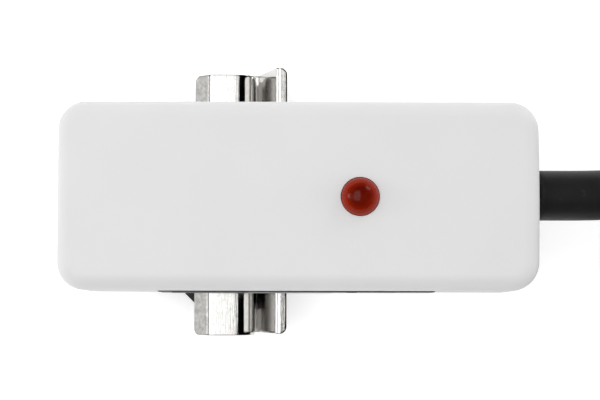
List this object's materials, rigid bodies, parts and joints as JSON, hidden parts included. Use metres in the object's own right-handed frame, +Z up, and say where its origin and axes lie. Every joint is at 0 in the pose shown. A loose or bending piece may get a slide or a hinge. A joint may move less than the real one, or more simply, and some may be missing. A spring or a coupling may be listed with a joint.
{
  "type": "proximity sensor",
  "caption": "Compact rectangular proximity sensor with a red indicator lamp, a sprung sheet metal clip below it and a coiled cable.",
  "frame": {"origin": "on the plane that the foot pad stands on, under the middle of the housing", "axes": "+X along the housing towards the cable, +Y across it, +Z up through the lamp"},
  "size_m": [0.0937, 0.048, 0.0182],
  "materials": {
    "white_shell": "fine matte moulded ABS",
    "label_black": "dark blank label",
    "zinc_steel": "zinc plated",
    "red_lens": "deep red translucent epoxy",
    "tinned_lead": "tinned",
    "board_green": "glass epoxy board with resist",
    "chip_black": "moulded package",
    "amber_chip": "moulded tantalum case",
    "ferrite": "sintered ferrite",
    "copper": "enamelled copper wire",
    "pad_rubber": "dull moulded rubber",
    "black_nylon": "satin moulded nylon",
    "bright_steel": "bright nickel plated spring sheet",
    "brass": "turned brass",
    "cable_black": "matte PVC jacket",
    "tie_nylon": "moulded nylon",
    "wire_brown": "PVC core insulation",
    "wire_black": "PVC core insulation",
    "wire_blue": "PVC core insulation"
  },
  "bodies": {
    "root": {"top_shell": "white_shell", "base_cover": "white_shell", "side_label": "label_black", "cover_screw_1": "zinc_steel", "cover_screw_2": "zinc_steel", "cover_screw_3": "zinc_steel", "cover_screw_4": "zinc_steel", "clip_screw_front": "zinc_steel", "clip_screw_back": "zinc_steel", "cable_clamp": "zinc_steel", "lamp_lens": "red_lens", "lamp_anode": "tinned_lead", "lamp_cathode": "tinned_lead", "tinned_end_brown": "tinned_lead", "tinned_end_black": "tinned_lead", "tinned_end_blue": "tinned_lead", "circuit_board": "board_green", "driver_chip": "chip_black", "output_transistor": "chip_black", "surge_diode": "chip_black", "resistor_front": "chip_black", "resistor_back": "chip_black", "filter_capacitor": "amber_chip", "ferrite_core": "ferrite", "coil_winding": "copper", "coil_lead_start": "copper", "coil_lead_end": "copper", "foot_pad": "pad_rubber", "cable_bush": "pad_rubber", "saddle_block": "black_nylon", "hook_plate": "bright_steel", "leaf_foot": "bright_steel", "thread_insert_front": "brass", "thread_insert_back": "brass", "cable_inner": "cable_black", "cable_lead": "cable_black", "cable_coil": "cable_black", "cable_tail": "cable_black", "coil_tie": "tie_nylon", "inner_wire_brown": "wire_brown", "core_brown": "wire_brown", "inner_wire_black": "wire_black", "core_black": "wire_black", "inner_wire_blue": "wire_blue", "core_blue": "wire_blue"},
    "latch": {"latch_leaf": "bright_steel"}
  },
  "joints": [
    {"name": "latch_flex", "type": "hinge", "parent": "root", "child": "latch", "pos_m": [-0.0041, 0, 0.00135], "axis": [0, 1, 0], "range_deg": [0, 10], "stiffness_Nm_per_rad": 0.05}
  ]
}
